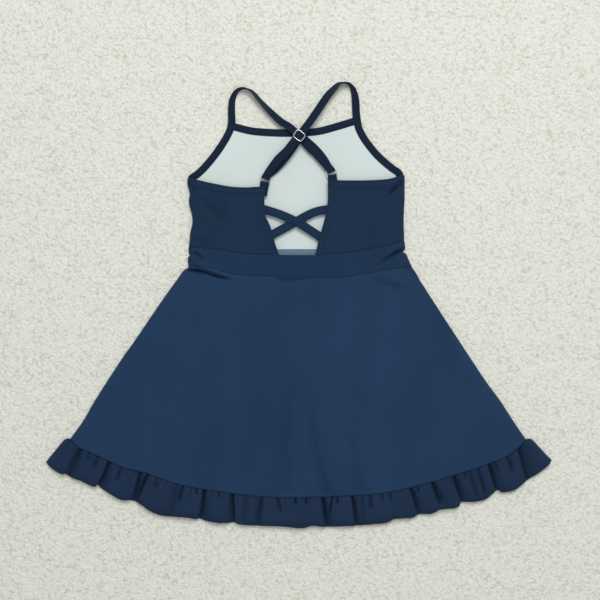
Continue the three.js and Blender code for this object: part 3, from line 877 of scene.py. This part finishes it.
def skirtPanel(name, back, node):
    u, v = spread(skirt["columns"]), spread(skirt["rows"])
    plan = patch(edge["skirtLeft"], edge["skirtRight"], edge["hem"], edge["skirtSeam"], u, v)
    distance = np.minimum(*bothWays(plan))
    x, y = plan[..., 0], plan[..., 1]
    fromHem, fromWaist = v[:, None] * skirt["height"], (1 - v[:, None]) * skirt["height"]
    if back:
        across, along = waistRipple(x, y), skirtRipple(x, y)
        fade = roll(distance, skirt["sideWidth"])
        z = levels["skirtTop"] + (across + along) * soft(distance / 20)
        z = z - skirt["drop"] * (1 - fade) - 0.8 * (1 - roll(fromHem, 1.6))
        z = z - 0.4 * (1 - roll(fromWaist, 1.2))
        z = z - 0.25 * np.exp(-((fromHem - 4.6) / 0.5) ** 2)  # the row of stitches above the seam
        z = z - 0.7 * puckers(x, 33) * np.exp(-fromHem / 7) * soft(distance / 12)
        # painted shade in the creases and soft folds, and along the seam at the hem
        paintedShade = np.clip(-across / 3.6, 0, 1) ** 1.2 + np.clip(-along / 9, 0, 0.22)
        paintedShade = np.maximum(paintedShade, 0.6 * np.exp(-fromHem / 0.9))
    else:
        z, paintedShade = 1.0 + 0.25 * (1 - roll(distance, 5)) + 0 * x, 0
    points = np.stack([x, y, z], -1)
    piece = cloth(name, points, skirt["wall"], paint["skirt"], paintedShade=paintedShade)
    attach(piece, "garment")
    wear(piece, points, "skirt_fabric", [node], *skirt["cut"])


skirtPanel("skirtBack", True, "skirt_back")
skirtPanel("skirtFront", False, "skirt_front")
print("skirt made")

# the deeper pleats of the ruffle: x at the seam and at the foot, depth, width of the
# steep side, width of the soft side, how far down it reaches, and which side is soft
pleats = {
    "back": [
        (-272, -288, 4.0, 5, 8, 1.2, 1), (-261, -270, 2.0, 1.2, 3, 0.35, 1),
        (-251, -264, 2.2, 1.2, 4, 0.55, 1), (-237, -250, 5.4, 1.0, 8, 1.2, 1),
        (-221.5, -235, 2.4, 1.2, 4, 0.6, 1), (-197.5, -207, 4.8, 1.6, 4, 1.2, 1),
        (-187, -203, 4.8, 1.2, 7, 1.2, -1), (-175.7, -186, 2.0, 1.2, 4, 0.4, -1),
        (-154, -159, 1.6, 4, 7, 1.1, 1), (-144.5, -153, 3.2, 1.2, 4, 0.6, -1),
        (-128, -129, 2.6, 1.2, 3, 0.25, 1), (-118.4, -124, 5.6, 1.0, 7, 1.2, 1),
        (-100, -101, 1.8, 1.2, 3, 0.25, 1), (-82, -80.5, 5.2, 1.0, 7, 1.2, -1),
        (-66, -69.5, 1.6, 3, 5, 1.1, 1), (-45.5, -52, 3.2, 2.4, 6, 1.2, -1),
        (-27, -17, 2.8, 1.2, 5, 0.6, -1), (-5, -5, 3.4, 1.0, 3, 0.3, 1),
        (8.7, 9, 3.4, 1.0, 3, 0.28, 1), (28.5, 34, 5.6, 1.2, 7, 1.2, 1),
        (42, 36, 3.4, 1.2, 3, 0.7, -1), (47.2, 49, 3.2, 1.0, 3, 0.3, 1),
        (65.9, 70.5, 5.2, 1.0, 7, 1.2, 1), (78.5, 80.5, 2.0, 4, 4, 1.2, 1),
        (88, 90, 2.6, 1.2, 5, 0.6, 1), (103.5, 105, 2.2, 1.2, 3, 0.3, 1),
        (113, 116, 2.2, 1.2, 4, 0.4, 1), (138, 149, 4.8, 1.0, 8, 1.2, 1),
        (147, 154, 2.2, 1.2, 3, 0.3, 1), (165, 178, 5.0, 1.2, 8, 0.95, 1),
        (191.5, 203, 5.4, 1.0, 9, 1.2, 1), (206, 209, 1.8, 1.2, 3, 0.3, 1),
        (211, 223, 2.2, 1.6, 5, 1.1, 1), (222, 232.5, 2.8, 1.2, 4, 1.1, 1),
        (236, 246, 5.4, 1.2, 9, 1.2, 1), (244, 251, 2.2, 1.2, 4, 0.4, 1),
        (258.7, 272, 3.2, 1.2, 6, 0.6, 1), (273.3, 284, 5.0, 1.2, 11, 1.2, 1),
    ],
    "front": [(x, x * 1.05 + 3 * lean, 3, 1.4, 8, 1.2, lean) for x, lean in (
        (-270, 1), (-236, -1), (-205, 1), (-171, 1), (-136, -1), (-105, 1), (-66, 1), (-30, -1), (4, 1),
        (41, -1), (80, 1), (118, 1), (152, -1), (188, 1), (222, -1), (262, 1))],
    "columns": 1000, "rows": 34, "wall": 0.75, "height": 38, "cutHeight": 40,
    "footDrop": 5.4, "footSpread": 0.0036, "middle": (1.4, 6.6),
}


def ruffle(name, back, node):
    u, v = np.linspace(0, 1, pleats["columns"]), spread(pleats["rows"], (False, True))
    leftSide = curve([(-315.6, -195.4), (-312.2, -190.8), (-304.9, -181.9), (-297.6, -173),
                      (-293.2, -168)])
    rightSide = curve([(315.6, -193.2), (307.6, -185), (301.4, -178.2), (293, -169.4),
                       (290, -167.6)])
    plan = patch(leftSide, rightSide, edge["ruffleFoot"], edge["ruffleTop"], u, v)
    distance = np.minimum(*bothWays(plan))
    x, y = plan[..., 0].copy(), plan[..., 1].copy()
    down = 1 - v[:, None] + 0 * x
    fromSeam, fromFoot = down * pleats["height"], (1 - down) * pleats["height"]
    valley, groove = 0 * x, 0 * x
    for top, foot, depth, steep, gentle, reach, soften in pleats["back" if back else "front"]:
        aside = (x - top - (foot - top) * down) * soften
        narrow = steep * (0.7 + 0.5 * down)
        wide = gentle * (0.45 + 0.75 * down)
        shape = np.exp(-(np.where(aside < 0, aside / narrow, aside / wide)) ** 2)
        fade = soft((reach - down) / (0.35 * reach)) * (0.75 + 0.25 * soft(down / 0.3))
        valley = np.maximum(valley, depth * shape * fade)
        core = np.where(aside < 0, aside / (0.9 + 0.3 * steep), aside / (1.4 + 0.16 * gentle))
        groove = np.maximum(groove, depth / 5.6 * fade * np.exp(-core ** 2))
        ridge = np.exp(-((aside + narrow * 2.2) / (narrow * 2.4)) ** 2)
        valley = valley - 0.9 * depth / 5 * ridge * fade * down
    seamX = x[-1][None]
    small = puckers(seamX, 41 if back else 42) * np.exp(-(down / 0.28) ** 1.6) * 1.5
    broad = undulation(x, 20 * down, 34, 17 if back else 18, 6)
    if back:
        start = 10.0 - 8.2 * (1 - roll(np.maximum(distance - 5, 0), 15)) - 1.0
        full = 10.5 - 7.4 * (1 - roll(distance, 10))
        rise = roll(fromSeam, 5.5)
        z = start * (1 - rise) + full * rise
        z = z + (broad * 1.1 * down - small - valley - 1.6 * groove) * soft(distance / 9 + 0.1)
        # the foot curls down, and out by as much as it would seem to draw in from above
        low = 1 - roll(fromFoot, 9)
        z = z - pleats["footDrop"] * low
        x = x + (x - pleats["middle"][0]) * pleats["footSpread"] * low
        y = y + (y - pleats["middle"][1]) * pleats["footSpread"] * low
        z = np.clip(z, 2.6, 14.5) - 0.25 * np.exp(-((fromSeam - 34.2) / 0.5) ** 2)
    else:
        z = np.clip(1.5 + broad * 0.5 - valley * 0.2 + 0.5 * (1 - roll(distance, 6)), 0.8, 2.4)
    points = np.stack([x, y, z], -1)
    measure = np.stack([lengths(plan), fromSeam], -1)
    # painted shade in the pleats, grooves and gathers, and along the seam at the top
    paintedShade = 0.85 * groove + 0.28 * np.clip(valley / 5, 0, 1) + 0.62 * small / 1.5
    paintedShade = paintedShade + 0.5 * np.exp(-fromSeam / 1.2)
    piece = cloth(name, points, pleats["wall"], paint["ruffle"], measure, paintedShade=paintedShade)
    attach(piece, "garment")
    wide = float(np.linalg.norm(np.diff(points[3], axis=0), axis=1).sum())
    wear(piece, points, "ruffle_fabric", [node], wide, pleats["cutHeight"], "gathered")


ruffle("ruffleBack", True, "ruffle_back")
ruffle("ruffleFront", False, "ruffle_front")
print("ruffle made")


# shoulder straps

strapSizes = {"wall": 0.8, "doubledWall": 0.75, "across": 15, "cup": 1.5, "wider": 1.0,
              "doubledWider": 0.8, "flat": 10.6, "straight": 24}
upward = np.array([0, 0, 1.0])
crossing = np.array([0.4, 211.0])
# each strap from the front corner over the shoulder: x, y, z and its turn in degrees
straps = {
    "left": {
        "loop": [
            (-83.8, 221, 1.3, 0), (-83.9, 229, 2.2, 8), (-84.2, 240, 2.6, 20),
            (-84.1, 247.3, 3.0, 28), (-83.1, 256.6, 3.8, 40), (-78.9, 265.2, 4.8, 60),
            (-74.8, 268.9, 5.2, 74), (-69.3, 270.5, 5.5, 87), (-63.9, 269.7, 5.7, 101),
            (-58.9, 266.6, 5.8, 113), (-54.4, 261.9, 5.3, 121), (-46.4, 252.6, 4.7, 130),
            (-34.6, 240.6, 4.6, 149), (-21.9, 229.1, 5.6, 168), (-12.4, 223.2, 6.8, 178),
        ],
        "ahead": 7, "width": 9.2, "height": 7.05, "outward": 1,
        "ring": "ring_right", "slider": "slider_left", "shift": 4.0, "bow": 0.5},
    "right": {
        "loop": [
            (74.4, 224, 1.3, 0), (72.8, 232, 2.2, 2), (71.7, 240.6, 2.8, 8),
            (71.1, 252.3, 3.8, 14), (69.9, 261.9, 4.8, 34), (67.2, 269.6, 5.4, 54),
            (63.6, 274.6, 5.8, 74), (59.2, 277.2, 5.8, 91), (54.5, 277.5, 5.9, 106),
            (49.0, 275.2, 6.2, 126), (43.2, 269.5, 7.0, 144), (35.9, 261.3, 8.6, 160),
            (30.1, 252.7, 10.6, 172), (21, 238.6, 13.2, 180),
        ],
        "ahead": 15, "width": 9.6, "height": 13.35, "outward": -1,
        "ring": "ring_left", "slider": "slider_right", "shift": 3.4, "bow": -1.5},
}
joints = {joint["child"]: joint for joint in frame["joints"]}
wire, clear = 1.1, 0.25
halfWall = strapSizes["wall"] / 2
wrapRadius = wire / 2 + clear + halfWall
barDrop = halfWall + clear + strapSizes["wall"] + clear + wire / 2
barRise = halfWall + clear + wire / 2
metal = {"wire": 1.15, "ringCorner": 1.5, "sliderCorner": 3.0,
         "ring": (12.6, 6.6), "slider": (12.6, 10.7)}


def strapPlaces(strap):
    # the ring's two bars, the way out of the tab, the way along the bars and the way
    # from crossing to ring, as the joints give them
    hinge, slide = joints[strap["ring"]], joints[strap["slider"]]
    tabBar = np.array(hinge["pos_m"]) / mm
    along = np.array(hinge["axis"])
    out = np.array([-along[1], along[0], 0])
    out = out if out[1] > 0 else -out
    return tabBar, tabBar + out * metal["ring"][1], out, along, np.array(slide["axis"])


def ribbon(name, centres, sideways, width, wall, finish, cup=0.0):
    # a flat strip along centre points; a cup bends its long edges to one side
    across = np.linspace(-0.5, 0.5, strapSizes["across"])
    ahead = unit(np.gradient(centres, axis=0))
    through = unit(np.cross(ahead, sideways)) * np.reshape(cup, (-1, 1))
    run = travelled(centres)
    width = width + 0 * run
    grid = np.stack([centres + sideways * a * width[:, None] + through * (4 * a * a - 0.3)
                     for a in across])
    measure = np.stack([np.stack([run, (a + 0.5) * width], -1) for a in across])
    piece = cloth(name, grid, wall, paint[finish], measure, offset=0.0)
    bpy.ops.object.mode_set(mode="EDIT")
    bpy.ops.mesh.select_all(action="SELECT")
    bpy.ops.mesh.normals_make_consistent(inside=False)
    bpy.ops.object.mode_set(mode="OBJECT")
    return piece, grid, float(run[-1])


def resample(points, count):
    return curve(np.array(points, float))(np.linspace(0, 1, count))


def unit(vector):
    vector = np.asarray(vector, float)
    return vector / np.maximum(np.linalg.norm(vector, axis=-1, keepdims=True), 1e-9)


def strapEnd(name):
    # the way the strap meets its ring: half along the strap, half square to the bar
    _, freeBar, out, _, way = strapPlaces(straps[name])
    lead = unit(way - out * 1.1)
    return freeBar, lead, np.cross(upward, lead)


def wrapped(bar, lead, radius, reach, steps=9):
    # half a turn round a bar, from above it to below it
    angle = np.linspace(0, math.pi, steps)[:, None]
    return bar + lead * reach * np.sin(angle) + upward * radius * np.cos(angle)


def strapWear(piece, grid, length, node):
    wear(piece, grid, "strap_elastic", [node], strapSizes["flat"], length, "stretched",
         "frontBodice")


def shoulderStrap(name):
    # from the front corner over the shoulder, straight past the crossing and round the ring
    strap = straps[name]
    freeBar, lead, across = strapEnd(name)
    start = np.array([*crossing, strap["height"]])
    way = unit(freeBar * (1, 1, 0) - start * (1, 1, 0))
    middle = unit(way + strapPlaces(strap)[4])
    straight = start + middle * np.linspace(-strap["ahead"], strapSizes["straight"], 28)[:, None]
    loop = resample([*strap["loop"], (*straight[0], 180), (*straight[1], 180)], 190)[:-3]
    turn = wrapped(freeBar, lead, wrapRadius, 1.9)
    above = freeBar + upward * wrapRadius
    drop = strap["height"] - above[2]
    bow = np.cross(upward, way) * strap["bow"]
    landing = resample([straight[-2], straight[-1], above - way * 28 + bow + upward * drop * 0.94,
                        above - way * 18 + bow * 0.95 + upward * (drop * 0.58 + 0.3),
                        above - way * 9 + bow * 0.6 + upward * (drop * 0.15 + 0.5),
                        above - way * 2.6 + bow * 0.12 + upward * 0.12, turn[0]], 60)[2:-1]
    tail = np.array([turn[-1] - way * k for k in (1.5, 3.2, 5.0)])
    centres = np.vstack([loop[:, :3], straight[1:], landing, turn, tail])
    angle = np.concatenate([loop[:, 3], np.full(len(centres) - len(loop), 180.0)])
    rollBy = np.radians(angle)[:, None]
    ahead = unit(np.gradient(centres, axis=0))
    outward = unit(np.cross(upward, ahead)) * strap["outward"]
    face = -upward * np.cos(rollBy) + outward * np.sin(rollBy)
    sideways = unit(np.cross(face, ahead))
    first = len(loop) + len(straight) - 3
    square = np.cross(upward, way)
    if np.dot(sideways[len(loop) + 4], square) < 0:
        square, across = -square, -across
    swing = soft((np.arange(len(centres)) - first - 46) / 14)[:, None]
    late = np.arange(len(centres)) >= len(loop) - 1
    sideways[late] = unit(square * (1 - swing[late]) + across * swing[late])
    cup = strapSizes["cup"] * np.sin(rollBy[:, 0]) ** 2
    left, reach = (np.linalg.norm((p - freeBar)[..., :2], axis=-1) for p in (centres, start))
    width = strap["width"] + strapSizes["wider"] * soft((reach + 3 - left) / 8)
    piece, grid, length = ribbon(f"shoulderStrap{name.capitalize()}", centres, sideways,
                                 width, strapSizes["wall"], "elastic", cup)
    strapWear(piece, grid, length, f"shoulder_strap_{name}")
    tuple((freeBar - way * 22) * mm)
    tuple((freeBar - way * 3) * mm)
    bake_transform(piece)


def doubledStrap(name):
    # the strap's end, back under the strap and round the slider's bar
    strap = straps[name]
    freeBar, lead, across = strapEnd(name)
    bar = np.array([*crossing, strap["height"] - barDrop])
    way = unit(freeBar * (1, 1, 0) - bar * (1, 1, 0))
    start = freeBar - way * 4.6 - upward * (wrapRadius - 0.1)
    fold = wrapped(bar, -way, -wrapRadius, wrapRadius)
    square = np.cross(upward, way)
    under = bar - upward * wrapRadius
    knots = [start]
    for share in (0.2, 0.4, 0.6, 0.78, 0.9):
        knot = start * (1 - share) + under * share
        knot[2] = start[2] + (under[2] - start[2]) * float(soft(share * 1.5))
        knots.append(knot + square * strap["shift"] * math.sin(math.pi * share) ** 0.7)
    knots += [under + way * 2.5, under]
    run = resample(knots, 90)
    end = np.array([fold[-1] + way * k for k in (1.2, 2.4, 4.0)])
    centres = np.vstack([run, fold[1:], end])
    swing = soft(np.arange(len(centres)) / 12 + 0.3)[:, None]
    sideways = unit(across * (1 - swing) + square * swing)
    piece, grid, length = ribbon(f"doubledStrap{name.capitalize()}", centres, sideways,
                                 strap["width"] + strapSizes["doubledWider"],
                                 strapSizes["doubledWall"], "elastic")
    strapWear(piece, grid, length, f"strap_return_{name}")
    tuple((start - lead * 3) * mm)
    tuple((bar + way * 7) * mm)
    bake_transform(piece)


for name in straps:
    shoulderStrap(name)
    doubledStrap(name)
print("straps made")


# metal rings and sliders

def wireLoop(name, width, length, corner):
    # a rounded wire rectangle, its near bar on the origin
    bpy.ops.object.select_all(action="DESELECT")
    bpy.ops.mesh.primitive_plane_add(size=1, location=(0, 0, 0))
    piece = bpy.context.object
    piece.name = name
    piece.scale = (width * mm, length * mm, 1)
    bpy.ops.object.transform_apply(location=False, rotation=False, scale=True)
    bpy.ops.object.mode_set(mode="EDIT")
    bpy.ops.mesh.select_all(action="SELECT")
    bpy.ops.mesh.bevel(offset=corner * mm, segments=6, affect="VERTICES")
    bpy.ops.mesh.select_all(action="SELECT")
    bpy.ops.mesh.delete(type="ONLY_FACE")
    bpy.ops.object.mode_set(mode="OBJECT")
    bpy.ops.object.convert(target="CURVE")
    piece.data.bevel_depth = metal["wire"] / 2 * mm
    piece.data.bevel_resolution = 4
    bpy.ops.object.convert(target="MESH")
    return bpy.context.object


def pieceName(node):
    first, second = node.split("_")
    return first + second.capitalize()


def seat(piece, place, way, node):
    # turns a metal part along its way, sets it in its place and finishes it
    turn = Matrix.Rotation(math.atan2(way[1], way[0]) - math.pi / 2, 4, "Z")
    piece.data.transform(Matrix.Translation(Vector(place) * mm) @ turn)
    piece.data.materials.clear()
    piece.data.materials.append(paint["metal"])
    pick(piece)
    bpy.ops.object.mode_set(mode="EDIT")
    bpy.ops.mesh.select_all(action="SELECT")
    bpy.ops.mesh.remove_doubles(threshold=0.00001)
    bpy.ops.mesh.normals_make_consistent(inside=False)
    bpy.ops.object.mode_set(mode="OBJECT")
    bpy.ops.object.shade_smooth()
    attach(piece, node)
    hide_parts(node)


for strap in straps.values():
    tabBar, _, out, _, way = strapPlaces(strap)
    ring = wireLoop(pieceName(strap["ring"]), *metal["ring"], metal["ringCorner"])
    ring.data.transform(Matrix.Translation((0, metal["ring"][1] / 2 * mm, 0)))
    seat(ring, tabBar, out, strap["ring"])

    # the slider's frame lies over the strap, and its centre bar hangs under it on two legs
    slider = wireLoop(pieceName(strap["slider"]), *metal["slider"], metal["sliderCorner"])
    bpy.ops.object.mode_set(mode="EDIT")
    bpy.ops.mesh.select_all(action="DESELECT")
    halfWide = metal["slider"][0] / 2 * mm
    drop = (barDrop + barRise) * mm
    bpy.ops.mesh.primitive_cylinder_add(vertices=16, radius=wire / 2 * mm, depth=2 * halfWide,
                                        location=(0, 0, -drop), rotation=(0, math.pi / 2, 0))
    for side in (-1, 1):
        bpy.ops.mesh.primitive_cylinder_add(vertices=16, radius=wire / 2 * mm, depth=drop,
                                            location=(side * halfWide, 0, -drop / 2))
        bpy.ops.mesh.primitive_uv_sphere_add(segments=16, ring_count=8, radius=wire / 2 * mm,
                                             location=(side * halfWide, 0, -drop))
    bpy.ops.object.mode_set(mode="OBJECT")
    seat(slider, (*crossing, strap["height"] + barRise), way, strap["slider"])
print("metal parts made")


# tabs that hold the rings

tab = {"width": 11.0, "wall": 0.75, "bulk": 0.8, "legs": 16.5, "upperSag": 0.25, "lowerRise": 0.5}
for strap in straps.values():
    tabBar, _, out, along, _ = strapPlaces(strap)
    radius = wire / 2 + clear + 0.05 + tab["bulk"] / 2
    side = strap["ring"].split("_")[1]
    angle = np.linspace(math.pi / 2, -math.pi / 2, 11)[:, None]
    turn = tabBar + out * radius * np.cos(angle) + upward * radius * np.sin(angle)
    legs = np.linspace(tab["legs"], 0.8, 24)[:, None]
    upper = tabBar - out * legs + upward * radius - upward * tab["upperSag"] * soft(legs / 10)
    lower = tabBar - out * legs - upward * radius + upward * tab["lowerRise"] * soft(legs / 10)
    centres = np.vstack([upper, turn, lower[::-1]])
    sideways = np.repeat(along[None], len(centres), axis=0)
    piece, grid, length = ribbon(f"tab{side.capitalize()}", centres, sideways, tab["width"],
                                 tab["wall"], "tape")
    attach(piece, "garment")
    wear(piece, grid, "trim", [f"tab_{side}"], strapSizes["flat"], length, "folded", "frontBodice")
print("tabs made")
